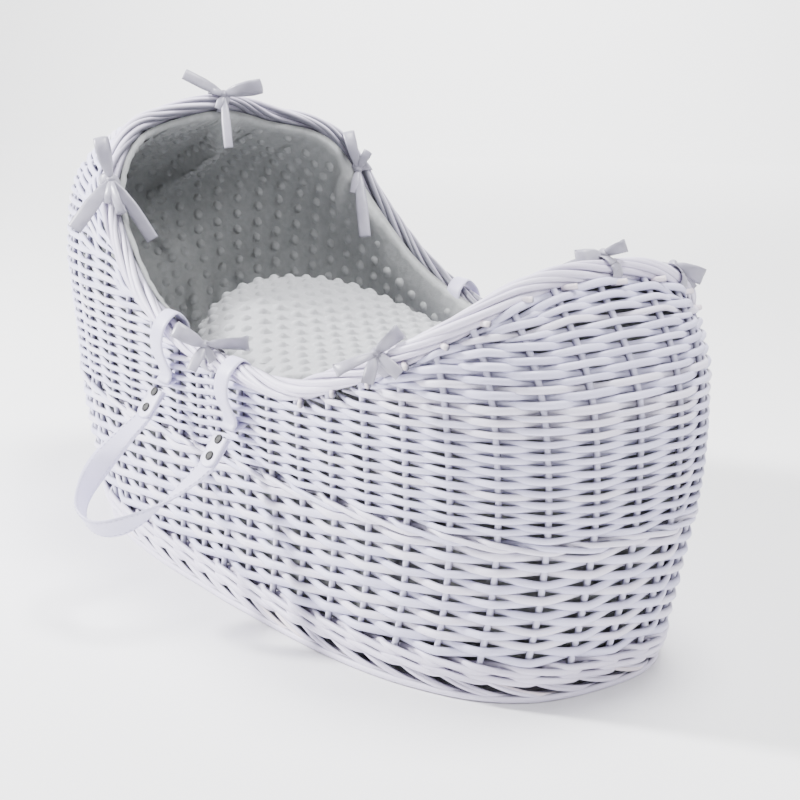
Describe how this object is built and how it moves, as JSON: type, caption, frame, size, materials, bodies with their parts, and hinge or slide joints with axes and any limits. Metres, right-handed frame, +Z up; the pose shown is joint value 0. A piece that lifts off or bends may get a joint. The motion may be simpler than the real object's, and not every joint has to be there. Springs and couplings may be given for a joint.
{
  "type": "hooded baby basket",
  "caption": "Woven willow baby basket with a hooded head end, padded liner, mattress and coverlet, ribbon ties and swinging strap handles.",
  "frame": {"origin": "on the floor, under the middle of the basket's whole length and width", "axes": "+X towards the foot end, -X towards the hood, +Z up"},
  "size_m": [0.8352, 0.5638, 0.4321],
  "materials": {
    "willow_weave": "white painted willow weavers, satin",
    "willow_rods": "white painted willow rods, satin",
    "willow_stakes": "white painted willow stakes, satin",
    "liner_fleece": "grey dimple fleece, padded",
    "coverlet_fleece": "pale grey dimple fleece, padded",
    "mattress_cover": "quilted cotton",
    "satin_ribbon": "satin ribbon",
    "satin_binding": "satin binding",
    "leatherette": "stitched leatherette",
    "rivet_nickel": "polished nickel eyelet"
  },
  "bodies": {
    "basket": {"base_sticks": "willow_stakes", "base_weave": "willow_weave", "foot_hoop": "willow_rods", "foot_border": "willow_rods", "base_wale": "willow_rods", "side_stakes": "willow_stakes", "lower_weave": "willow_weave", "waist_wale": "willow_rods", "upper_weave": "willow_weave", "foot_packing": "willow_weave", "hood_packing": "willow_weave", "rim_border": "willow_rods", "liner": "liner_fleece", "mattress": "mattress_cover", "sheet_band": "satin_binding", "coverlet": "coverlet_fleece", "tie_hood_top": "satin_ribbon", "tie_hood_near": "satin_ribbon", "tie_hood_far": "satin_ribbon", "tie_side_near": "satin_ribbon", "tie_side_far": "satin_ribbon", "tie_waist_near": "satin_ribbon", "tie_waist_far": "satin_ribbon", "tie_foot_near": "satin_ribbon", "tie_foot_far": "satin_ribbon", "near_loop_head": "leatherette", "near_loop_foot": "leatherette", "far_loop_head": "leatherette", "far_loop_foot": "leatherette"},
    "near_handle": {"near_grip": "leatherette", "near_rivets": "rivet_nickel"},
    "far_handle": {"far_grip": "leatherette", "far_rivets": "rivet_nickel"}
  },
  "joints": [
    {"name": "near_handle_swing", "type": "hinge", "parent": "basket", "child": "near_handle", "pos_m": [-0.009, -0.172, 0.186], "axis": [-0.9881, 0, 0.1541], "range_deg": [-38, 100]},
    {"name": "far_handle_swing", "type": "hinge", "parent": "basket", "child": "far_handle", "pos_m": [-0.009, 0.172, 0.186], "axis": [0.9881, 0, -0.1541], "range_deg": [-38, 100]}
  ]
}
